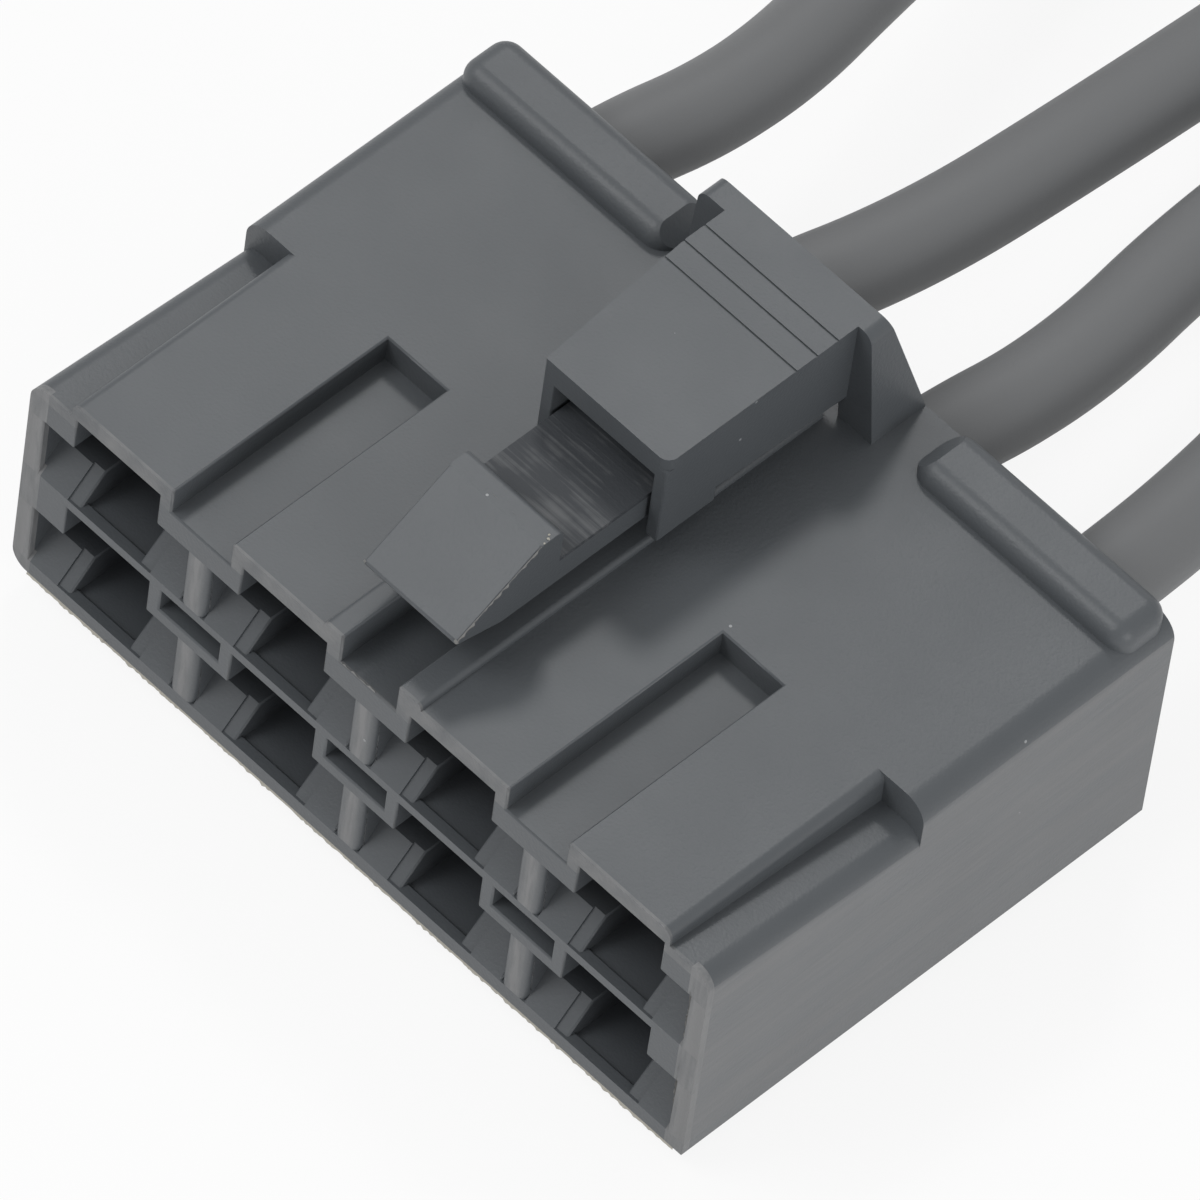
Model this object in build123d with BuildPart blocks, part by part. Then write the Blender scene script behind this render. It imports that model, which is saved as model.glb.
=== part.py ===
"""Eight-way housing for wide blade terminals, wired in its upper row.

Millimetres. X runs across the columns, Y from the mating face back to the wires, and Z up.
The origin is under the middle of the housing, on the surface that it stands on.
"""

import os
from math import cos, radians, sin, tan

from build123d import *

os.makedirs("parts", exist_ok=True)

# Cavities, two rows of four, each a wide slot with a narrower lance space over it
columns = 4
rows = 2
cavity_width = 8.1
cavity_height = 3.35
lance_width = 4.7
lance_height = 1.75
partition = 1.3
partition_round = 0.3
outer_wall = 0.85
floor_wall = 0.75
row_wall = 0.55
top_wall = 0.9

# Moulded body round the cavities
width = columns * cavity_width + (columns - 1) * partition + 2 * outer_wall
height = floor_wall + rows * (cavity_height + lance_height) + (rows - 1) * row_wall + top_wall
length = 25.5
top_corner = 1.1
bottom_corners = (0.85, 0.4)  # left and right
foot = 1.0  # how far the rear ridges stand out of the body, above and below

# Front stops, rails and locking bridges inside each cavity
stop_width = 2.35
stop_height = 1.3
stop_ramp = 1.25
stop_depth = 3.8
strip_width = 0.65  # of the inner strip of each stop
strip_step = 0.12  # how far the strip's ramp is set back
groove_lead = 0.55
groove_sink = 0.2
rail_end = 12.5
bridge_start = 8.6
bridge_depth = 2.0
bridge_gap = 0.14  # between a bridge and the top of the wide slot

# Keying channels in the top and the blind slots between the rows
channel_width = 3.35
channel_depth = 1.35
channel_length = 11.65
slot_height = 1.2
slot_floor = 0.6

# Shoulders cut along the front half of both upper edges, deeper towards the rear
shoulder_width = 2.25
shoulder_front_depth = 0.8
shoulder_rear_depth = 1.65
shoulder_round = 0.45
shoulder_edge = 0.9

# Pocket under the latch nose and the low ribs beside it
pocket_width = 3.1
pocket_depth = 1.3
rib_widths = (1.05, 1.27)  # left and right
rib_rise = 0.3
rib_round = 0.25
rib_length = 22.0

# Half-round ridges along the rear edge, nearly out to the sides
ridge_inner = 6.8
ridge_inset = 0.3
ridge_outer = width / 2 - ridge_inset
ridge_width = 2.9
ridge_root = 1.5
ridge_inner_round = 1.1
ridge_outer_round = 0.9
ridge_top_round = 0.85
ridge_facet = 0.9
ridge_facet_low = 0.05

# Latch: arm with its nose in front, thumb pad on side walls, legs at the rear
arm_width = 5.2
arm_gap = 1.8
arm_thickness = 1.5
nose_front = 1.85
nose_tip = 0.6  # height of the tip's underside over the arm's
nose_lip = 0.2
nose_under = 2.2  # length of the slope under the tip
nose_back = 7.37
nose_rise = 1.8
nose_flat = 1.2
nose_round = 0.35
pad_half = 3.4
pad_flare = 0.65  # how much wider the rear of the pad is on its left side
pad_front = 12.1
pad_flared_at = 20.4
pad_back = 23.6
pad_thickness = 1.3
pad_clear = 1.45  # between the arm and the pad over it
pad_corner = 0.5
side_wall = 0.65
side_droop = 0.4  # how much lower the side walls end at the legs
skirt_drop = 0.8
skirt_end = 15.3
grip_lines = (19.1, 20.25, 21.4)
grip_width = 0.1
grip_depth = 0.07
leg_depth = 3.0
leg_feet = ((-5.85, -3.3), (3.1, 5.05))
leg_tops = ((-5.45, -3.15), (2.5, 4.15))
leg_round = 0.6
leg_root = 0.3

# Female terminal for a 6.3 x 0.8 blade
sheet = 0.4
receptacle_width = 7.4
receptacle_height = 2.4
receptacle_length = 8.0
blade_slot = 0.78
curl_width = 1.2
bend_radius = 0.5
terminal_gap = 0.1  # between the base sheet and the roof of the wide slot
stop_gap = 0.2
tang_width = 1.6
tang_from = 1.7
tang_length = 2.7
tang_rise = 1.1
window_margin = 0.15
strap_width = 1.8
strap_bite = 0.3
neck_length = 2.0
core_grip_length = 3.6
grip_spacing = 1.2
jacket_grip_length = 3.4
seam = 0.5

# Wire
jacket_diameter = 4.0
core_diameter = 2.3
crimp_fit = 0.02  # between a crimp and what it holds
floor_gap = 0.06  # between the jacket crimp and the cavity floor
core_overhang = 0.2
jacket_tuck = 0.3
bare_length = 7.0

near = 0.01  # slack where an edge is picked by its place

# Each wire from its crimp to its far end: plan length, heading from straight back, height at the end
lead_runs = [
    [(6.9, 0, 9.88), (8.5, 11, 9.45), (10, -11, 8.4), (13, -11, 5.6), (19, 2, 2), (23, 6, 2), (20, 8, 2)],
    [(6.9, 0, 9.88), (8, 13.5, 9.45), (10, 1, 8.4), (13, -3.5, 5.6), (19, -3, 2), (22, 1, 2), (19, 4, 2)],
    [(6.9, 0, 9.88), (8, 7, 9.45), (10, -9.5, 8.4), (13, -5, 5.6), (20, -2, 2), (23, 2, 2), (19, 4, 2)],
    [(6.9, 0, 9.88), (8, -3, 9.45), (10, -11, 8.4), (12, -9, 5.6), (20, -4, 2), (24, 2, 2), (21, 5, 2)],
]

front = -length / 2
leg_front = length - leg_depth
body_bottom = foot
body_top = foot + height
column_pitch = cavity_width + partition
row_pitch = cavity_height + lance_height + row_wall
row_floors = [body_bottom + floor_wall + row * row_pitch for row in range(rows)]
column_middles = [(column - (columns - 1) / 2) * column_pitch for column in range(columns)]
partition_middles = [(a + b) / 2 for a, b in zip(column_middles, column_middles[1:])]
wire_floor = row_floors[-1]
wire_level = wire_floor + floor_gap + sheet + crimp_fit + jacket_diameter / 2
rail_height = cavity_height - terminal_gap - receptacle_height  # so that the terminal sits on the rails


def section(depth):
    """The cross-section plane that far behind the mating face, seen from the front."""
    return Plane(origin=(0, front + depth, 0), x_dir=(1, 0, 0), z_dir=(0, -1, 0))


def side(x):
    """The plane across X at x, with Y to the right and Z up."""
    return Plane(origin=(x, 0, 0), x_dir=(0, 1, 0), z_dir=(1, 0, 0))


def span(low, high, bottom, top):
    """A rectangle between two positions across and two up."""
    with Locations(((low + high) / 2, (bottom + top) / 2)):
        Rectangle(high - low, top - bottom)


def outline(points):
    """A closed straight-sided face."""
    Polygon(*points, align=None)


def at_front(points):
    """Side-view points given as distance behind the mating face and height."""
    return [(front + depth, level) for depth, level in points]


arm_bottom = body_top + arm_gap
arm_top = arm_bottom + arm_thickness
pad_bottom = arm_top + pad_clear
pad_top = pad_bottom + pad_thickness


def is_at(edge, distance, level):
    """Whether an edge's middle is that far to either side and that high."""
    middle = edge.center()
    return abs(abs(middle.X) - distance) < near and abs(middle.Z - level) < near


def make_leg(foot_ends, top_ends):
    """A latch leg between its foot and its top across X, with its back sloping forwards."""
    with BuildPart() as leg:
        with BuildSketch(section(leg_front)) as front_view:
            foot_line = [(foot_end, body_top - leg_root) for foot_end in foot_ends]
            outline(foot_line + [(top_end, pad_top) for top_end in reversed(top_ends)])
            outer = front_view.vertices().group_by(Axis.Y)[-1].sort_by(lambda vertex: abs(vertex.X))[-1]
            fillet(outer, leg_round)
        extrude(amount=leg_front - length)
        with BuildSketch(side(-width / 2)):
            outline(
                at_front(
                    [
                        (leg_front, body_top - leg_root),
                        (length, body_top - leg_root),
                        (length, body_top),
                        (pad_back, pad_top),
                        (leg_front, pad_top),
                    ]
                )
            )
        extrude(amount=width, mode=Mode.INTERSECT)
    return leg.part


with BuildPart() as housing:
    # Body block with its lower long edges rounded
    with BuildSketch(section(0)) as body_section:
        span(-width / 2, width / 2, body_bottom, body_top)
        lower_corners = body_section.vertices().group_by(Axis.Y)[0].sort_by(Axis.X)
        for corner, radius in zip(lower_corners, bottom_corners):
            fillet(corner, radius)
    extrude(amount=-length)

    # Shoulders along the front half of the upper edges
    riser = width / 2 - shoulder_width
    for low in (-riser - width, riser):
        with BuildSketch(side(low)):
            outline(
                at_front(
                    [
                        (0, body_top - shoulder_front_depth),
                        (channel_length, body_top - shoulder_rear_depth),
                        (channel_length, body_top + foot),
                        (0, body_top + foot),
                    ]
                )
            )
        extrude(amount=width, mode=Mode.SUBTRACT)

    # Their edges rounded, and the full upper edges behind them
    fillet(edges().filter_by(lambda edge: is_at(edge, riser, body_top)), shoulder_round)
    floor_edge = body_top - (shoulder_front_depth + shoulder_rear_depth) / 2
    fillet(edges().filter_by(lambda edge: is_at(edge, width / 2, floor_edge)), shoulder_edge)
    fillet(edges().filter_by(lambda edge: is_at(edge, width / 2, body_top)), top_corner)

    # Half-round ridges along the rear edge, above and below
    ridge_y = front + length - ridge_width / 2
    ridge_length = ridge_outer - ridge_inner
    for sketch_level in (body_top - ridge_root, body_bottom - foot):
        with BuildSketch(Plane.XY.offset(sketch_level)) as ridge_plan:
            ridge_middle = (ridge_inner + ridge_outer) / 2
            with Locations((-ridge_middle, ridge_y), (ridge_middle, ridge_y)):
                Rectangle(ridge_length, ridge_width)
            corners = ridge_plan.vertices()
            fillet(corners.filter_by(lambda vertex: abs(vertex.X) < ridge_middle), ridge_inner_round)
            corners = ridge_plan.vertices()
            fillet(corners.filter_by(lambda vertex: abs(vertex.X) > ridge_outer - near), ridge_outer_round)
        extrude(amount=ridge_root + foot)
    crest_edges = edges().group_by(Axis.Z)[-1]
    sole_edges = edges().group_by(Axis.Z)[0]
    fillet(crest_edges + sole_edges, ridge_top_round)

    # Flat slanted facet on each ridge's inner end
    with BuildSketch(section(length - ridge_width)):
        for face, outwards in ((body_top, 1), (body_bottom, -1)):
            facet_foot = (ridge_inner, face + outwards * ridge_facet_low)
            facet_top = (ridge_inner + ridge_facet, face + outwards * foot)
            for way in (1, -1):
                corners = (facet_foot, facet_top, (ridge_inner, face + outwards * foot))
                outline([(way * across, level) for across, level in corners])
    extrude(amount=-ridge_width, mode=Mode.SUBTRACT)

    # Low ribs beside the pocket
    with BuildSketch(Plane.XY.offset(body_top - pocket_depth)):
        rib_edges = (-pocket_width / 2 - rib_widths[0], pocket_width / 2 + rib_widths[1])
        span(rib_edges[0], -pocket_width / 2, front, front + rib_length)
        span(pocket_width / 2, rib_edges[1], front, front + rib_length)
    extrude(amount=pocket_depth + rib_rise)
    for rib_edge in rib_edges:
        crest = edges().filter_by_position(Axis.X, rib_edge - near, rib_edge + near)
        fillet(crest.filter_by(lambda edge: edge.center().Z > body_top + rib_rise - near), rib_round)

    # Keying channels and the pocket under the nose
    with BuildSketch(section(0)):
        for middle in (partition_middles[0], partition_middles[-1]):
            low = middle - channel_width / 2
            span(low, low + channel_width, body_top - channel_depth, body_top + height)
        span(-pocket_width / 2, pocket_width / 2, body_top - pocket_depth, body_top + height)
    extrude(amount=-channel_length, mode=Mode.SUBTRACT)

    # Blind slots between the rows
    with BuildSketch(section(0)):
        for middle in partition_middles:
            slot_bottom = row_floors[0] + cavity_height + slot_floor
            low = middle - channel_width / 2
            span(low, low + channel_width, slot_bottom, slot_bottom + slot_height)
    extrude(amount=-channel_length, mode=Mode.SUBTRACT)

    # Cavities right through the body
    with BuildSketch(section(0)):
        for middle in column_middles:
            for floor in row_floors:
                roof = floor + cavity_height
                span(middle - cavity_width / 2, middle + cavity_width / 2, floor, roof)
                span(middle - lance_width / 2, middle + lance_width / 2, floor, roof + lance_height)
    extrude(amount=-length, mode=Mode.SUBTRACT)

    # Rounded front edges of the partitions
    front_edges = edges().filter_by(Axis.Z).filter_by_position(Axis.Y, front - near, front + near)
    wall_edges = front_edges.filter_by(lambda edge: abs(edge.length - cavity_height) < near)
    partition_edges = wall_edges.filter_by(lambda edge: abs(edge.center().X) < width / 2 - 2 * outer_wall)
    fillet(partition_edges, partition_round)

    # Sunk floor of each groove between two stops
    groove_half = cavity_width / 2 - stop_width
    for floor in row_floors:
        with BuildSketch(Plane.XY.offset(floor)):
            for middle in column_middles:
                span(middle - groove_half, middle + groove_half, front + groove_lead, front + stop_depth)
        extrude(amount=-groove_sink, mode=Mode.SUBTRACT)

    # Ramped front stops with the rails that carry a terminal behind them
    for middle in column_middles:
        left = middle - cavity_width / 2
        right = middle + cavity_width / 2
        strips = [
            (left, stop_width - strip_width, 0),
            (left + stop_width - strip_width, strip_width, strip_step),
            (right - stop_width, strip_width, strip_step),
            (right - stop_width + strip_width, stop_width - strip_width, 0),
        ]
        for low, strip, set_back in strips:
            with BuildSketch(side(low)):
                for floor in row_floors:
                    ramp = [(set_back, floor), (stop_ramp + set_back, floor + stop_height)]
                    stop = [(stop_depth, floor + stop_height), (stop_depth, floor + rail_height)]
                    outline(at_front(ramp + stop + [(rail_end, floor + rail_height), (rail_end, floor)]))
            extrude(amount=strip)

    # Bridges that the locking tangs catch on
    with BuildSketch(section(bridge_start)):
        for middle in column_middles:
            for floor in row_floors:
                roof = floor + cavity_height
                low = middle - lance_width / 2
                span(low, low + lance_width, roof + bridge_gap, roof + lance_height)
    extrude(amount=-bridge_depth)

    # Latch arm with the ramped nose at its free end
    with BuildSketch(side(-arm_width / 2)):
        outline(
            at_front(
                [
                    (nose_front + nose_under, arm_bottom),
                    (nose_front, arm_bottom + nose_tip),
                    (nose_front, arm_bottom + nose_tip + nose_lip),
                    (nose_back - nose_flat, arm_top + nose_rise),
                    (nose_back, arm_top + nose_rise),
                    (nose_back, arm_top),
                    (leg_front + side_wall, arm_top),
                    (leg_front + side_wall, arm_bottom),
                ]
            )
        )
    extrude(amount=arm_width)
    nose_top = edges().filter_by(lambda edge: edge.center().Z > arm_top + nose_rise - near)
    fillet(nose_top.filter_by(Axis.X).sort_by(Axis.Y)[-1], nose_round)

    # Side walls of the pad, deeper at the front, and the arm's root between them
    for low in (-pad_half, pad_half - side_wall):
        with BuildSketch(side(low)):
            outline(
                at_front(
                    [
                        (pad_front, pad_bottom + side_wall),
                        (pad_front, arm_bottom - skirt_drop),
                        (skirt_end, arm_bottom - skirt_drop),
                        (skirt_end, arm_bottom),
                        (leg_front + side_wall, arm_bottom - side_droop),
                        (leg_front + side_wall, pad_bottom + side_wall),
                    ]
                )
            )
        extrude(amount=side_wall)
    with BuildSketch(Plane.XY.offset(arm_bottom)):
        span(-pad_half, pad_half, front + skirt_end, front + leg_front + side_wall)
    extrude(amount=arm_thickness)

    # Thumb pad with its grip lines
    with BuildSketch(Plane.XY.offset(pad_bottom)) as pad_plan:
        outline(
            [
                (-pad_half, front + pad_front),
                (pad_half, front + pad_front),
                (pad_half, front + pad_back),
                (-pad_half - pad_flare, front + pad_back),
                (-pad_half - pad_flare, front + pad_flared_at),
            ]
        )
        fillet(pad_plan.vertices().sort_by(Axis.Y)[:2].sort_by(Axis.X)[-1], pad_corner)
    extrude(amount=pad_thickness)
    with BuildSketch(Plane.XY.offset(pad_top)):
        for line in grip_lines:
            span(-width / 4, width / 4, front + line - grip_width / 2, front + line + grip_width / 2)
    extrude(amount=-grip_depth, mode=Mode.SUBTRACT)

    # Legs
    for foot_ends, top_ends in zip(leg_feet, leg_tops):
        add(make_leg(foot_ends, top_ends))

housing.part.label = "housing"
export_step(housing.part, "parts/housing.step")


# Terminals and conductors, one set for each column of the upper row
base_middle = wire_floor + cavity_height - terminal_gap - sheet / 2
terminal_start = stop_depth + stop_gap
receptacle_end = terminal_start + receptacle_length
core_grip_start = receptacle_end + neck_length
core_grip_end = core_grip_start + core_grip_length
jacket_grip_start = core_grip_end + grip_spacing
jacket_start = jacket_grip_start - jacket_tuck
core_bore = core_diameter / 2 + crimp_fit
jacket_bore = jacket_diameter / 2 + crimp_fit


def make_terminal(middle):
    """A rolled receptacle with its locking tang and two crimps, seated on the rails."""
    edge = (receptacle_width - sheet) / 2
    curl_bottom = base_middle - receptacle_height + sheet
    curl_tip = base_middle - sheet / 2 - blade_slot
    tang_root = terminal_start + tang_from
    tang_tip = tang_root + tang_length
    core_crown = wire_level + core_bore + sheet / 2
    jacket_crown = wire_level + jacket_bore + sheet / 2
    curl = edge - curl_width
    right_half = [(edge, base_middle), (edge, curl_bottom), (curl, curl_bottom), (curl, curl_tip)]
    left_half = [(-x, level) for x, level in reversed(right_half)]
    with BuildPart() as terminal:
        # Sheet with both long edges rolled under it
        with BuildSketch(section(terminal_start)):
            with BuildLine():
                corners = [(middle + x, level) for x, level in left_half + right_half]
                FilletPolyline(*corners, radius=bend_radius)
            trace(line_width=sheet)
        extrude(amount=-receptacle_length)
        # Locking tang, lanced out of the sheet and raised at its rear end
        with BuildSketch(Plane.XY.offset(base_middle - sheet)):
            span(
                middle - tang_width / 2 - window_margin,
                middle + tang_width / 2 + window_margin,
                front + tang_root + sheet,
                front + tang_tip + window_margin,
            )
        extrude(amount=2 * sheet, mode=Mode.SUBTRACT)
        with BuildSketch(side(middle - tang_width / 2)):
            outline(
                at_front(
                    [
                        (tang_root, base_middle - sheet / 2),
                        (tang_root + 2 * sheet, base_middle - sheet / 2),
                        (tang_tip, base_middle - sheet / 2 + tang_rise),
                        (tang_tip, base_middle + sheet / 2 + tang_rise),
                        (tang_root, base_middle + sheet / 2),
                    ]
                )
            )
        extrude(amount=tang_width)
        # Straps that step up from the sheet to the crimps
        strap_lines = [
            [
                (receptacle_end - strap_bite, base_middle),
                (receptacle_end, base_middle),
                (core_grip_start - 2 * strap_bite, core_crown),
                (core_grip_start + strap_bite, core_crown),
            ],
            [
                (core_grip_end - strap_bite, core_crown),
                (core_grip_end + strap_bite, core_crown),
                (jacket_grip_start - strap_bite, jacket_crown),
                (jacket_grip_start + strap_bite, jacket_crown),
            ],
        ]
        for line in strap_lines:
            with BuildSketch(side(middle - strap_width / 2)):
                top = [(depth, level + sheet / 2) for depth, level in line]
                bottom = [(depth, level - sheet / 2) for depth, level in reversed(line)]
                outline(at_front(top + bottom))
            extrude(amount=strap_width)
        # Crimps, closed round the core and the jacket, with their seam underneath
        for start, grip, bore in (
            (core_grip_start, core_grip_length, core_bore),
            (jacket_grip_start, jacket_grip_length, jacket_bore),
        ):
            with BuildSketch(section(start)):
                with Locations((middle, wire_level)):
                    Circle(bore + sheet)
                    Circle(bore, mode=Mode.SUBTRACT)
                with Locations((middle, wire_level - bore)):
                    Rectangle(seam, 3 * sheet, mode=Mode.SUBTRACT)
            extrude(amount=-grip)
    return terminal.part


def make_core(middle):
    """The stripped conductor inside the terminal's front crimp."""
    with BuildPart() as core:
        with BuildSketch(section(core_grip_start - core_overhang)):
            with Locations((middle, wire_level)):
                Circle(core_diameter / 2)
        extrude(amount=core_grip_start - core_overhang - jacket_start)
    return core.part


def route(middle, runs):
    """The corners of a wire's centre line, from its crimp to its far end."""
    points = [Vector(middle, front + jacket_start, wire_level)]
    for plan_length, heading, level in runs:
        x = points[-1].X + plan_length * sin(radians(heading))
        y = points[-1].Y + plan_length * cos(radians(heading))
        points.append(Vector(x, y, level))
    return points


def corner_radii(points):
    """The largest arc that each corner's two runs allow."""
    radii = []
    for before, corner, after in zip(points, points[1:], points[2:]):
        turn = (corner - before).get_angle(after - corner)
        shorter = min((corner - before).length, (after - corner).length)
        radii.append(0.45 * shorter / tan(radians(turn / 2)))
    return radii


def make_wire(points, radii):
    """The insulated lead along its route."""
    with BuildPart() as wire:
        with BuildLine():
            FilletPolyline(*points, radius=radii)
        with BuildSketch(Plane(origin=points[0], z_dir=points[1] - points[0])):
            Circle(jacket_diameter / 2)
        sweep()
    return wire.part


def make_bare_end(points):
    """The stripped conductor beyond the far end of the jacket."""
    with BuildPart() as bare_end:
        with BuildSketch(Plane(origin=points[-1], z_dir=points[-1] - points[-2])):
            Circle(core_diameter / 2)
        extrude(amount=bare_length)
    return bare_end.part


for number, (middle, runs) in enumerate(zip(column_middles, lead_runs), start=1):
    points = route(middle, runs)
    radii = corner_radii(points)
    pieces = {
        "terminal": make_terminal(middle),
        "core": make_core(middle),
        "wire": make_wire(points, radii),
        "bare_end": make_bare_end(points),
    }
    for kind, piece in pieces.items():
        piece.label = f"{kind}_{number}"
        export_step(piece, f"parts/{kind}_{number}.step")
    path = FilletPolyline(*points, radius=radii)
    share = pieces["wire"].volume / (3.14159265 * jacket_diameter**2 / 4 * path.length)
    print(f"wire_{number}: radii", [round(radius, 1) for radius in radii], "mm")
    print(f"wire_{number}: length {path.length:.1f} mm, volume over section times length {share:.4f}")
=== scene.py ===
# %% [markdown]
# # A wired connector housing, dressed for a studio photograph
# The solids of this connector already exist as named nodes: a black moulded housing, four crimped
# terminals and four short leads. This notebook loads them, gives each one its real surface, and
# lays the flexible leads again as smooth curves. Everything is in metres, except where a helper
# says that it takes millimetres.

# %% Load the solids
import random
from math import cos, pi, radians, sin

import bmesh
import bpy
from mathutils import Matrix, Vector


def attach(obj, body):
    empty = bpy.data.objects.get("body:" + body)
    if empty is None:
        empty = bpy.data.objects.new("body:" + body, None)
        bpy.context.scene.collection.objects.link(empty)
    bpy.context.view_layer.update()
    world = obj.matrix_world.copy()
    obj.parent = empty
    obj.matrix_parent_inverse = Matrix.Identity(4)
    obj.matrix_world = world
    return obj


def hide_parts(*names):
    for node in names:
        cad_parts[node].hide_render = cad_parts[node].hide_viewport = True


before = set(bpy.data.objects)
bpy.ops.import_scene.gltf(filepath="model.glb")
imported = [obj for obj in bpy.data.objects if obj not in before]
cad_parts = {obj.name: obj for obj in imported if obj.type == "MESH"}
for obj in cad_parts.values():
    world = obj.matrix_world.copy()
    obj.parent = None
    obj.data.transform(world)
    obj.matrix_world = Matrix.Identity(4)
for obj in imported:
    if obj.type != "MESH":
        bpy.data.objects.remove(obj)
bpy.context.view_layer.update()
print("nodes:", sorted(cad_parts))

# %% [markdown]
# ## The camera
# The photograph was taken from well above and far away with a long lens, so parallel edges stay
# almost parallel. The camera could be turned by three angles, but those are hard to check by eye.
# Its rotation is written here as the three directions that the picture's right, up and back edges
# have in the scene, as they came out when the camera was fitted to the corners of the housing.

# %% Camera
picture_right = (0.695371, 0.712756, 0.091862)
picture_up = (-0.612376, 0.520780, 0.594798)
picture_back = (0.376106, -0.469859, 0.798609)
camera_turn = Matrix((picture_right, picture_up, picture_back)).transposed().to_4x4()

camera = bpy.data.objects.new("camera", bpy.data.cameras.new("camera"))
camera.matrix_world = Matrix.Translation((0.32642, -0.40709, 0.69907)) @ camera_turn
camera.data.sensor_width = 36
camera.data.lens = 662.9
camera.data.clip_end = 20
bpy.context.scene.collection.objects.link(camera)
bpy.context.scene.camera = camera
print("camera lens:", round(camera.data.lens, 1), "mm")

# %% [markdown]
# ## Shader maths as Python
# A material's noise, masks and bumps are sums and products of a few patterns. Wiring them by hand
# in the node editor hides the formula. So a small class wraps one socket and turns Python's
# operators into Math nodes, and an expression on two patterns reads as what it does.

# %% Socket arithmetic
class Value:
    """One output socket, so that shader maths is written as arithmetic."""

    def __init__(self, finish, socket):
        self.finish = finish
        self.socket = socket

    def math(self, operation, other=0.0, swapped=False):
        first, second = (other, self) if swapped else (self, other)
        return self.finish.add("ShaderNodeMath", {"operation": operation}, {0: first, 1: second})

    def __add__(self, other):
        return self.math("ADD", other)

    def __radd__(self, other):
        return self.math("ADD", other, swapped=True)

    def __sub__(self, other):
        return self.math("SUBTRACT", other)

    def __rsub__(self, other):
        return self.math("SUBTRACT", other, swapped=True)

    def __mul__(self, other):
        return self.math("MULTIPLY", other)

    def __rmul__(self, other):
        return self.math("MULTIPLY", other, swapped=True)

    def __gt__(self, other):
        return self.math("GREATER_THAN", other)

    def __lt__(self, other):
        return self.math("LESS_THAN", other)


print("operators that become Math nodes: + - * > <")

# %% [markdown]
# ## One surface, built from nodes
# Every finish on this object is one Principled surface. What is the same all over sits on the
# shader's own sockets, and what changes from place to place is fed into them. All patterns read
# Object coordinates, which are metres here, so a noise scale of 1000 makes spots of about 1 mm.
# Colours go through Mix nodes, because a Math node would turn them grey.

# %% Finishes
class Finish:
    """A material with one Principled surface, and the few kinds of node that this object needs."""

    def __init__(self, name, color, roughness, metallic=0.0):
        self.material = bpy.data.materials.new(name)
        self.material.use_nodes = True
        self.tree = self.material.node_tree
        self.surface = self.tree.nodes["Principled BSDF"]
        self.surface.inputs["Base Color"].default_value = (*color, 1)
        self.surface.inputs["Roughness"].default_value = roughness
        self.surface.inputs["Metallic"].default_value = metallic
        self.place = self.add("ShaderNodeTexCoord", output="Object")

    def add(self, kind, settings=None, inputs=None, output=0):
        """Any node: its settings come first, then a value or a link for each socket."""
        node = self.tree.nodes.new(kind)
        for key, value in (settings or {}).items():
            setattr(node, key, value)
        for key, value in (inputs or {}).items():
            if isinstance(value, Value):
                self.tree.links.new(value.socket, node.inputs[key])
            else:
                node.inputs[key].default_value = value
        return Value(self, node.outputs[output])

    def feed(self, socket, value):
        self.tree.links.new(value.socket, self.surface.inputs[socket])

    def axes(self):
        """The place on the object as three separate values, in metres."""
        split = self.add("ShaderNodeSeparateXYZ", inputs={0: self.place}).socket.node
        return [Value(self, output) for output in split.outputs]

    def noise(self, scale, detail, place=None):
        inputs = {"Vector": place or self.place, "Scale": scale, "Detail": detail}
        return self.add("ShaderNodeTexNoise", inputs=inputs)

    def streaks(self, scale):
        """Noise with its own scale along each axis: it runs in lines along the lowest one."""
        stretched = self.add("ShaderNodeMapping", inputs={"Vector": self.place, "Scale": scale})
        return self.noise(1.0, 3, stretched)

    def blend(self, factor, first, second):
        """The first colour where the factor is zero, and the second where it is one."""
        colours = [(*colour, 1) if isinstance(colour, tuple) else colour for colour in (first, second)]
        inputs = {0: factor, 6: colours[0], 7: colours[1]}
        return self.add("ShaderNodeMix", {"data_type": "RGBA"}, inputs, output=2)

    def bump(self, height, distance, strength):
        """A bumpy skin: height times distance is the relief in metres."""
        inputs = {"Height": height, "Distance": distance, "Strength": strength}
        self.feed("Normal", self.add("ShaderNodeBump", inputs=inputs))


print("a finish can use:", [name for name in vars(Finish) if not name.startswith("_")])

# %% [markdown]
# ## Moulded black nylon
# The housing is injection-moulded nylon filled with soot black. Its own colour is very dark, and
# most of the grey that the eye sees is the white room in its satin skin. A lighter grey without
# shine would match one photograph but look like putty under any other light. So the colour stays
# dark, and a medium roughness spreads the reflection. A fine grain breaks the skin up, and a slow
# drift varies the colour and the roughness by a little. The next cells lay the marks of moulding
# and handling over this skin, one after another.

# %% Plain nylon
housing_black = Finish("moulded black nylon", (0.082, 0.090, 0.098), 0.42)
housing_black.surface.inputs["Specular IOR Level"].default_value = 0.5
grain = housing_black.noise(7000, 3)
drift = housing_black.noise(260, 3)
nylon = housing_black.blend(drift, (0.076, 0.084, 0.092), (0.088, 0.096, 0.104))
roughness = 0.36 + drift * 0.10 + grain * 0.05
relief = grain * 0.8
print("nodes in the plain nylon:", len(housing_black.tree.nodes))

# %% [markdown]
# ## Marks in one place
# Some marks belong to one wall or one arm only. They could be painted on an image, but this object
# is all straight walls, so a box in Object coordinates fits just as well and needs no file. The
# first use of it is painted shade in the cavities: their colour gets darker over their first 4 mm.

# %% Painted shade in the cavities
front_face = -0.0127
painted_shade_per_metre = 260  # per metre behind the front face


def marks_in_box(finish, low, high):
    """One inside a box of object space and zero outside it, for marks in one place."""
    inside = 1.0
    for along_axis, start, end in zip(finish.axes(), low, high):
        inside = (along_axis > start) * (along_axis < end) * inside
    return inside


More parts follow.
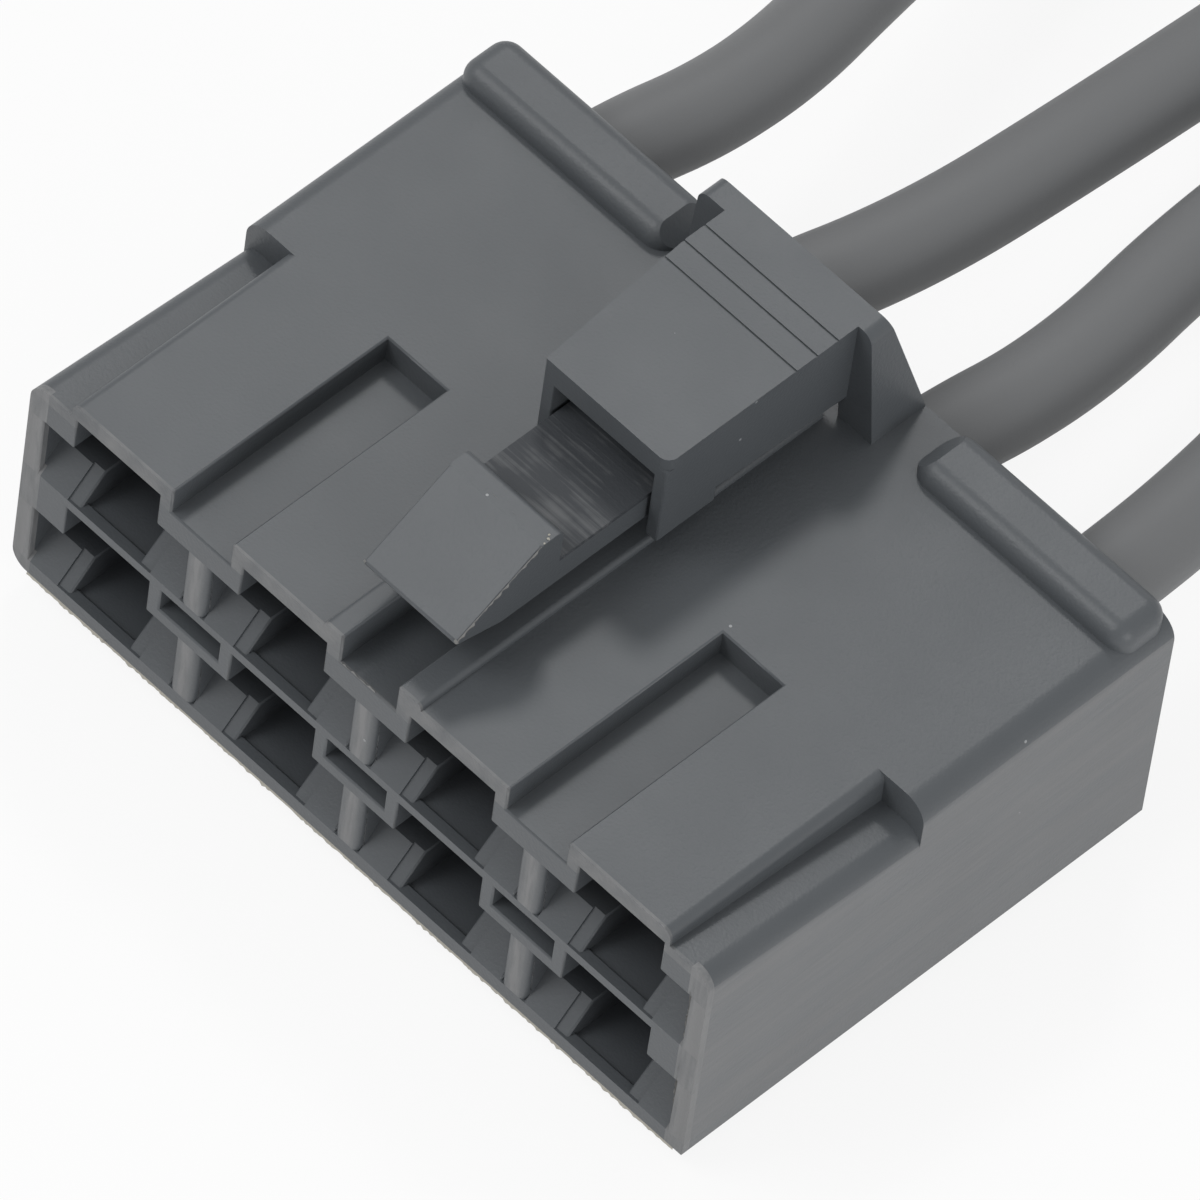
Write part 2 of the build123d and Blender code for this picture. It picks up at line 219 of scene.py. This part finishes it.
across, along, upward = housing_black.axes()
cavities = marks_in_box(housing_black, (-0.0181, front_face, 0.0015), (0.0181, 0.013, 0.0117))
# painted shade: the cavities' colour darkens with depth behind the front face
nylon = housing_black.blend(cavities * (along - front_face) * painted_shade_per_metre, nylon, (0.055, 0.06, 0.068))
print("cavities reach full darkness", round(1000 / painted_shade_per_metre, 1), "mm behind the front")

# %% [markdown]
# ## The rubbed right side, painted paler as lit
# Connectors lie loose in a bag and rub against each other, and this side wall has gone pale in
# soft lines along its length. The whole wall is also painted paler as painted light, as the side
# that faces the light. Two noises do it, both stretched along the wall: broad smears and finer
# scratches. Their sum sets the colour, the roughness and a little relief together: the rubbing
# shows in all three, and the colour carries the painted light too.

# %% Rubbed side and painted light
side_light_and_wear = marks_in_box(housing_black, (0.01897, -0.02, -0.01), (0.03, 0.02, 0.03))
smears = housing_black.streaks((700, 75, 900)) - 0.5
scratches = housing_black.streaks((700, 260, 3000)) - 0.5
side_lines = smears * 1.8 + scratches * 1.5 + 0.5
# painted light and wear: the side wall is painted paler, most along the rubbed streaks
nylon = housing_black.blend(side_light_and_wear * (0.1 + side_lines * 0.9), nylon, (0.161, 0.164, 0.168))
roughness = roughness + side_light_and_wear * (side_lines * 0.20 - 0.06)
relief = relief + side_light_and_wear * side_lines * 0.4
print("nodes with the rubbed side:", len(housing_black.tree.nodes))

# %% [markdown]
# ## Drag lines on the latch arm, over painted shade
# A slide of the mould pulls out sideways over the arm, between the nose and the thumb pad, and
# leaves fine lines across it. The ground under them is painted darker as painted shade, the shadow
# that the thumb pad casts on the arm. The lines come from a noise that is stretched across the
# arm. A second, slow noise makes them come and go in patches, as scuffs do.

# %% Drag lines over painted shade
arm_shade_and_scuffs = marks_in_box(housing_black, (-0.0027, -0.0054, 0.0165), (0.0027, 0.0050, 0.0169))
drag_lines = housing_black.streaks((160, 5600, 5600))
drag_patch = housing_black.noise(420, 3)
scuffs = arm_shade_and_scuffs * ((drag_lines - 0.5) * 3.5 + (drag_patch - 0.5) * 4 - 0.05)
# painted shade: the arm under the thumb pad is painted darker
nylon = housing_black.blend(arm_shade_and_scuffs * 0.8, nylon, (0.03, 0.034, 0.04))
nylon = housing_black.blend(scuffs * 0.48, nylon, (0.17, 0.175, 0.18))
roughness = roughness + arm_shade_and_scuffs * 0.2
relief = relief + arm_shade_and_scuffs * drag_lines
print("nodes with the drag lines:", len(housing_black.tree.nodes))

# %% [markdown]
# ## Scraped posts and rims
# Test gauges and mating housings scrape the front: the posts between the cavities shine pale along
# their middles, and the upper rims and the end walls are worn too. The posts repeat at the pitch
# of the cavities. Instead of one box for each, Ping-Pong folds the distance across the housing at
# half that pitch, so that one formula is zero at the middle of every post.

# %% Scraped front
column_pitch = 0.0094
post_half = 0.00058
post_edge = 2600  # per metre, how fast the pale middle of a post fades to its sides
at_front = along < -0.0124
in_rows = (upward > 0.00175) * (upward < 0.0051) + (upward > 0.0074) * (upward < 0.01075)
on_walls = across.math("ABSOLUTE") > 0.018
post_middle = (post_half - across.math("PINGPONG", column_pitch / 2)) * post_edge
post_skin = post_middle.math("MAXIMUM") * at_front * in_rows + on_walls * at_front
post_lines = housing_black.streaks((5200, 5200, 700))
rim_skin = (along < -0.01262) * (upward > 0.01205) * (housing_black.noise(900, 3) * 1.6 - 0.3)
nylon = housing_black.blend(rim_skin, nylon, (0.17, 0.172, 0.174))
nylon = housing_black.blend(post_skin * (0.2 + post_lines), nylon, (0.21, 0.212, 0.215))
roughness = roughness + post_skin * 0.15
relief = relief + post_skin * post_lines
print("nodes with the scraped front:", len(housing_black.tree.nodes))

# %% [markdown]
# ## Dust, and the nylon put together
# A few pale specks of dust lie on the skin. A Voronoi pattern gives round cells, and only the very
# middle of a cell counts as a speck. A noise then drops most of them, so that they lie unevenly.
# They go over everything else, and then the layers are fed to the surface.

# %% Dust
def specks(finish, scale, size):
    """Sparse round dust specks, one here and there out of many cells."""
    cells = finish.add("ShaderNodeTexVoronoi", inputs={"Vector": finish.place, "Scale": scale})
    return (cells < size) * (finish.noise(scale * 0.45, 1) > 0.56)


nylon = housing_black.blend(specks(housing_black, 420, 0.028) * 0.6, nylon, (0.42, 0.43, 0.44))
housing_black.feed("Base Color", nylon)
housing_black.feed("Roughness", roughness)
housing_black.bump(relief, 0.00003, 0.6)
print("nodes in the finished nylon:", len(housing_black.tree.nodes))

# %% [markdown]
# ## The leads' jackets
# The insulation is softer plastic than the housing. It is a little paler and much less shiny, with
# a dull, even skin and a few specks of dust. It is made in the same way as the nylon, but from one
# colour, because extruded wire has no moulding marks.

# %% Lead jacket
jacket_grey = (0.160, 0.164, 0.168)
lead_black = Finish("black lead jacket", jacket_grey, 0.55)
lead_black.surface.inputs["Specular IOR Level"].default_value = 0.28
jacket_grain = lead_black.noise(4200, 3)
jacket_drift = lead_black.noise(300, 2)
jacket_dust = specks(lead_black, 380, 0.026) * 0.5
lead_black.feed("Base Color", lead_black.blend(jacket_dust, jacket_grey, (0.36, 0.37, 0.38)))
lead_black.feed("Roughness", 0.46 + jacket_grain * 0.08 + jacket_drift * 0.10)
lead_black.bump(jacket_grain, 0.00002, 0.3)
print("nodes in the lead jacket:", len(lead_black.tree.nodes))

# %% [markdown]
# ## Brass terminals and tinned strands
# The terminals are stamped from plain brass, and each crimp holds a stripped core of tinned copper.
# They sit deep in the upper cavities, where hardly any light reaches them, so two uniform metals
# are enough. They go straight onto the solids, whose edges are as sharp as stamped edges are.

# %% Metal on the terminals and cores
brass = Finish("plain brass", (0.56, 0.42, 0.23), 0.3, 1.0)
tinned = Finish("tinned copper strands", (0.74, 0.68, 0.62), 0.3, 1.0)
metals = {"terminal": brass, "core": tinned}
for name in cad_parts:
    metal = metals.get(name.split("_")[0])
    if metal:
        bpy.data.objects[name].data.materials.clear()
        bpy.data.objects[name].data.materials.append(metal.material)
        print(name, "is in", metal.material.name)

# %% [markdown]
# ## Smooth where it is round, sharp where it is not
# Blender shades a mesh either flat or smooth. This object needs both: walls that meet at a corner,
# and rounded ridges. So every face is smooth and every edge with a clear corner is marked sharp.
# The solid's mesh also carries normals of its own, which no longer fit once its triangles are
# merged, so the copy drops them.

# %% Finish a mesh
smooth_limit = radians(27)


def finished(shell, name):
    """A bmesh as an object at the origin, smooth where its faces nearly line up."""
    for edge in shell.edges:
        edge.smooth = edge.is_manifold and edge.calc_face_angle() < smooth_limit
    for face in shell.faces:
        face.smooth = True
    mesh = bpy.data.meshes.new(name)
    shell.to_mesh(mesh)
    shell.free()
    if "custom_normal" in mesh.attributes:
        mesh.attributes.remove(mesh.attributes["custom_normal"])
    piece = bpy.data.objects.new(name, mesh)
    bpy.context.scene.collection.objects.link(piece)
    print(name, "faces:", len(mesh.polygons))
    return piece


# %% [markdown]
# ## The housing's skin
# A real moulding has no knife edges: the tool's own small radii and the flow of the plastic round
# every edge by about a tenth of a millimetre, and those edges catch the light. The solid's mesh is
# loose triangles, which a bevel can't round, so a copy is merged and its flat faces are made whole
# again. An edge is rounded only where it stands out and has room at both ends, and it carries a
# bevel weight to say so.

# %% A merged copy of the housing
round_width = 0.00008
round_from = radians(38)
shortest_neighbour = 0.00017


def can_be_rounded(edge):
    """Whether an edge stands out, is sharp, and has room at both ends."""
    if not edge.is_manifold or not edge.is_convex or edge.calc_face_angle() < round_from:
        return False
    neighbours = [other for vert in edge.verts for other in vert.link_edges]
    return min(other.calc_length() for other in neighbours) > shortest_neighbour


shell = bmesh.new()
shell.from_mesh(bpy.data.objects["housing"].data)
bmesh.ops.remove_doubles(shell, verts=shell.verts, dist=0.000001)
bmesh.ops.dissolve_limit(shell, angle_limit=radians(0.5), verts=shell.verts, edges=shell.edges)
weight = shell.edges.layers.float.new("bevel_weight_edge")
for edge in shell.edges:
    edge[weight] = 1.0 if can_be_rounded(edge) else 0.0
print("edges to round:", sum(edge[weight] > 0 for edge in shell.edges), "of", len(shell.edges))
skin = finished(shell, "housing_skin")

# %% [markdown]
# A Bevel modifier rounds the weighted edges. Smooth shading would then bend the light over the
# large walls too, so the Weighted Normal modifier keeps those level, and the shading turns only
# over the narrow rounded strips. The finished skin takes the solid's place.

# %% Rounded edges
skin.data.materials.clear()
skin.data.materials.append(housing_black.material)
edge_round = skin.modifiers.new("edge round", "BEVEL")
edge_round.width = round_width
edge_round.segments = 2
edge_round.limit_method = "WEIGHT"
edge_round.use_clamp_overlap = False
level_faces = skin.modifiers.new("level faces", "WEIGHTED_NORMAL")
level_faces.weight = 90
level_faces.keep_sharp = True
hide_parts("housing")
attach(skin, "root")
print("edge round:", round(round_width * 1000, 3), "mm")

# %% [markdown]
# ## Flash and burrs
# Where the two halves of the mould meet, a little plastic creeps out and freezes into a thin ragged
# fin. This housing has it along the lower front edge, on the right end wall, on the front edge of
# the pocket and on the latch nose. A bump can't change an outline, so each fin is real: a narrow
# grid laid along its edge, with its outer row at uneven heights, and then given a thickness. A
# burr is a small sphere with every point pulled in or out. A fixed seed keeps them the same in
# every run.

# %% Ragged fins
chance = random.Random(7)
fin_thickness = 0.00005
fin_root = -0.08  # the inner row, as a height in mm, so that the fin starts inside the wall


def ragged_fin(shell, start, end, out, height, pieces, least=0.0):
    """A thin uneven fin along the line from start to end, in millimetres, that grows towards out."""
    start, end, out = (Vector(point) / 1000 for point in (start, end, out))
    grid = bmesh.ops.create_grid(shell, x_segments=pieces, y_segments=1, size=0.5)["verts"]
    spikes = [chance.random() ** 3 for _ in range(pieces + 2)]
    swell = [least + (1 - least) * (one + other) / 2 for one, other in zip(spikes, spikes[1:])]
    for vert in grid:
        share = vert.co.x + 0.5
        rise = height * swell[round(share * pieces)] if vert.co.y > 0 else fin_root
        vert.co = start.lerp(end, share) + out * rise
    faces = list(dict.fromkeys(face for vert in grid for face in vert.link_faces))
    bmesh.ops.solidify(shell, geom=faces, thickness=fin_thickness)


def burr(shell, place, size):
    """A torn crumb of plastic at a point, in millimetres."""
    spot = Matrix.Translation(Vector(place) / 1000)
    crumb = bmesh.ops.create_icosphere(shell, subdivisions=2, radius=size / 1000, matrix=spot)["verts"]
    for vert in crumb:
        vert.co = spot.translation + (vert.co - spot.translation) * chance.uniform(0.6, 1.2)


def add_flash(name, shell, finish):
    """The collected fins and burrs as one piece that rides with the housing."""
    bmesh.ops.recalc_face_normals(shell, faces=shell.faces)
    piece = finished(shell, name)
    piece.data.materials.append(finish.material)
    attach(piece, "root")


print("fins are", round(fin_thickness * 1000, 3), "mm thick")

# %% [markdown]
# The flash on the right end wall, the nose and the pocket is thick enough to stay grey. Its fins
# and burrs are collected in one mesh, because they have one finish and never move apart.

# %% Grey flash
fins = bmesh.new()
flash = Finish("frozen flash", (0.19, 0.19, 0.185), 0.55)
ragged_fin(fins, (18.17, -12.74, 2.0), (18.17, -12.74, 11.0), (-0.9, -0.4, 0), 0.14, 60)  # end wall
ragged_fin(fins, (2.58, -10.88, 16.02), (2.58, -6.6, 18.47), (0.7, 0, 0.6), 0.24, 60)  # nose, right
ragged_fin(fins, (2.3, -6.3, 18.49), (-1.2, -6.3, 18.49), (0, 0.4, 0.8), 0.05, 24)  # nose, crest
ragged_fin(fins, (-1.5, -12.72, 12.08), (0.4, -12.72, 12.08), (0, -0.1, 0.9), 0.22, 24)  # pocket
burr(fins, (2.55, -10.86, 15.98), 0.10)
burr(fins, (-2.56, -10.86, 15.98), 0.07)
add_flash("mould_flash", fins, flash)

# %% [markdown]
# Along the lower front edge the fin is so thin that light comes through it and it looks pale, and
# so do the crumbs torn off at the nose. It has a least height, because it never quite stops.

# %% Pale flash
pale_fins = bmesh.new()
thin_flash = Finish("thin pale flash", (0.42, 0.40, 0.35), 0.6)
ragged_fin(pale_fins, (-18.1, -12.72, 1.02), (18.5, -12.72, 1.02), (0, -0.35, -0.9), 0.22, 420, 0.5)
burr(pale_fins, (2.5, -6.15, 18.5), 0.07)
burr(pale_fins, (2.38, -6.0, 18.5), 0.05)
burr(pale_fins, (2.56, -6.42, 18.49), 0.045)
burr(pale_fins, (-13.6, -12.74, 0.96), 0.07)
burr(pale_fins, (-13.35, -12.74, 0.96), 0.05)
add_flash("pale_flash", pale_fins, thin_flash)

# %% [markdown]
# ## Where the leads run
# Each lead is one fixed length of stiff insulated wire, 4 mm across. It comes straight out of its
# cavity, sinks under its own weight and then lies on the table. A route is a list of straight runs,
# each with its length in mm, its heading in degrees and the height in mm at which it ends. That is
# easier to read and to keep at one length than a list of points.

# %% Lead routes
crimp_place = (0.00575, 0.00988)  # how far back and how high every lead starts
lead_runs = [
    [(6.9, 0, 9.88), (8.5, 11, 9.45), (10, -11, 8.4), (13, -11, 5.6), (19, 2, 2), (23, 6, 2), (20, 8, 2)],
    [(6.9, 0, 9.88), (8, 13.5, 9.45), (10, 1, 8.4), (13, -3.5, 5.6), (19, -3, 2), (22, 1, 2), (19, 4, 2)],
    [(6.9, 0, 9.88), (8, 7, 9.45), (10, -9.5, 8.4), (13, -5, 5.6), (20, -2, 2), (23, 2, 2), (19, 4, 2)],
    [(6.9, 0, 9.88), (8, -3, 9.45), (10, -11, 8.4), (12, -9, 5.6), (20, -4, 2), (24, 2, 2), (21, 5, 2)],
]


def lead_points(column, runs):
    """The corners of a lead's centre line from its crimp to the end of its jacket, in metres."""
    points = [Vector(((column - 1.5) * column_pitch, *crimp_place))]
    for run, heading, height in runs:
        step = Vector((sin(radians(heading)), cos(radians(heading)), 0)) * run / 1000
        points.append(Vector((*(points[-1] + step).xy, height / 1000)))
    return points


for column, runs in enumerate(lead_runs):
    end = lead_points(column, runs)[-1]
    print(f"lead {column + 1} ends at x {end.x * 1000:.1f}, y {end.y * 1000:.1f} mm")

# %% [markdown]
# ## Smooth leads
# A real lead bends evenly, without corners. A NURBS curve of order three touches the middle of
# every run of its control polygon and rounds what lies between, so it follows the same corners as
# the solid tube does. Its length is added up in short steps.

# %% Jackets as curves
jacket_radius = 0.002
length_steps = 40


def lay_lead(name, points):
    """A smooth round lead through its route."""
    curve = bpy.data.curves.new(name, "CURVE")
    curve.dimensions = "3D"
    curve.bevel_depth = jacket_radius
    curve.bevel_resolution = 8
    curve.resolution_u = 20
    curve.use_fill_caps = True
    spline = curve.splines.new("NURBS")
    spline.points.add(len(points) - 1)
    for control, point in zip(spline.points, points):
        control.co = (*point, 1)
    spline.order_u = 3
    spline.use_endpoint_u = True
    curve.materials.append(lead_black.material)
    lead = bpy.data.objects.new(name, curve)
    bpy.context.scene.collection.objects.link(lead)
    return lead


def curve_length(points):
    """The length of the order-three curve over those control points, added up in short steps."""
    total = 0
    middles = [(one + other) / 2 for one, other in zip(points[1:], points[2:-1])]
    knots = [points[0], *middles, points[-1]]
    for start, control, end in zip(knots, points[1:-1], knots[1:]):
        last = start
        for step in range(1, length_steps + 1):
            t = step / length_steps
            here = start * (1 - t) ** 2 + control * 2 * t * (1 - t) + end * t**2
            total += (here - last).length
            last = here
    return total


print("jackets are", jacket_radius * 2000, "mm across")

# %% [markdown]
# ## The stripped ends
# The insulation is stripped from the last 7 mm of each lead. The conductor is nineteen thin wires
# with a slight twist: one in the middle, six round it and twelve round those. A twisted pattern on
# a plain rod would fail at its outline and its cut end. Each wire is a disc that a spin carries
# along the lead's axis while it turns, which draws one helix in one call.

# %% Twisted strands
bare_length = 0.007
tuck = 0.0005  # how far the strands reach into the jacket
strand_pitch = 0.00046
strand_radius = 0.00022
strand_sides = 10
twist = radians(75)
twist_steps = 12


def strand_places():
    """Where the nineteen strands cross the cut end: one, then a ring of six and one of twelve."""
    places = [(0.0, 0.0)]
    for ring, count in ((1, 6), (2, 12)):
        for item in range(count):
            turn = 2 * pi * item / count
            places.append((ring * strand_pitch * cos(turn), ring * strand_pitch * sin(turn)))
    return places


def twist_strands(name, end, direction):
    """Nineteen twisted wires from just inside the jacket to the end of the stripped length."""
    shell = bmesh.new()
    rise = (0, 0, (bare_length + tuck) / twist_steps)
    for x, y in strand_places():
        spot = Matrix.Translation((x, y, -tuck))
        disc = bmesh.ops.create_circle(
            shell, cap_ends=True, segments=strand_sides, radius=strand_radius, matrix=spot
        )["verts"]
        faces = list(dict.fromkeys(face for vert in disc for face in vert.link_faces))
        edges = list(dict.fromkeys(edge for vert in disc for edge in vert.link_edges))
        bmesh.ops.spin(
            shell, geom=disc + faces + edges, cent=(0, 0, 0), axis=(0, 0, 1), dvec=rise, angle=twist,
            steps=twist_steps,
        )
    open_edges = [edge for edge in shell.edges if edge.is_boundary]
    bmesh.ops.holes_fill(shell, edges=open_edges, sides=strand_sides)
    bmesh.ops.recalc_face_normals(shell, faces=shell.faces)
    aim = direction.to_track_quat("Z", "Y").to_matrix().to_4x4()
    bmesh.ops.transform(shell, matrix=Matrix.Translation(end) @ aim, verts=shell.verts)
    piece = finished(shell, name)
    piece.data.materials.append(tinned.material)
    return piece


print("strands in a lead:", len(strand_places()))

# %% [markdown]
# ## Four leads
# Now each lead is laid, its strands are set on its end, and both take the place of the solids. Each
# lead's length is printed.

# %% Lay the leads
for column, runs in enumerate(lead_runs):
    points = lead_points(column, runs)
    direction = (points[-1] - points[-2]).normalized()
    lead = lay_lead(f"lead_{column + 1}", points)
    bundle = twist_strands(f"strands_{column + 1}", points[-1], direction)
    length = curve_length(points)
    print(lead.name, f"{length * 1000:.1f} mm")
    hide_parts(f"wire_{column + 1}")
    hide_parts(f"bare_end_{column + 1}")
    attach(lead, "root")
    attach(bundle, "root")

# %% [markdown]
# ## The white table
# The object was photographed on a lit white table. More light would turn the table white, but it
# would also bleach the object. So the table glows for the camera only in part, and keeps the rest
# of its own shading, in which the object's faint shadow stays. It also glows for reflections,
# because the upright faces of the housing mirror it. It lies a hair under the leads, so that the
# two surfaces never fall together.

# %% Table
camera_glow = 0.88
bpy.ops.mesh.primitive_plane_add(size=6, location=(0, 0, -0.00002))
table = bpy.context.object
table.name = "white_table"
paper = Finish("white table", (0.85, 0.85, 0.85), 0.9)
paths = paper.add("ShaderNodeLightPath").socket.node.outputs
seen = Value(paper, paths["Is Camera Ray"]) * camera_glow
seen = seen + Value(paper, paths["Is Glossy Ray"]) + Value(paper, paths["Is Transmission Ray"])
glow = paper.add("ShaderNodeEmission", inputs={"Color": (1, 1, 1, 1), "Strength": 1.0})
shaded = Value(paper, paper.surface.outputs[0])
both = paper.add("ShaderNodeMixShader", inputs={0: seen, 1: shaded, 2: glow})
paper.tree.links.new(both.socket, paper.tree.nodes["Material Output"].inputs[0])
table.data.materials.append(paper.material)
print("table shows to the camera at", camera_glow)

# %% [markdown]
# ## Room and light
# The room is plain white. A key light from high behind throws the soft shadows of the latch over
# the top, and its reflection gives the top its grey, because it stands where that face mirrors the
# camera. A larger, weaker light from the front left lights the ramp of the nose and the posts
# between the cavities. A low one from the right only grazes the top, and lights the upright faces
# there and the lower sides of the leads.

# %% Room and lights
room_strength = 0.58
world = bpy.data.worlds.new("white room")
world.use_nodes = True
world.node_tree.nodes["Background"].inputs[0].default_value = (1, 1, 1, 1)
world.node_tree.nodes["Background"].inputs[1].default_value = room_strength
bpy.context.scene.world = world


def soft_light(name, place, size, watts):
    """A square soft light that faces the object."""
    lamp = bpy.data.lights.new(name, "AREA")
    lamp.size = size
    lamp.energy = watts
    rig = bpy.data.objects.new(name, lamp)
    aim = Vector(place).to_track_quat("Z", "Y").to_matrix().to_4x4()
    rig.matrix_world = Matrix.Translation(place) @ aim
    bpy.context.scene.collection.objects.link(rig)
    print(name, watts, "W from", round(Vector(place).length, 2), "m away")


soft_light("key_light", (-0.389, 0.470, 0.793), 0.15, 1.6)
soft_light("front_fill", (-0.42, -0.48, 0.77), 0.45, 3.0)
soft_light("right_fill", (0.85, -0.12, 0.24), 0.35, 2.0)
bpy.context.scene.view_settings.view_transform = "Standard"

# %% [markdown]
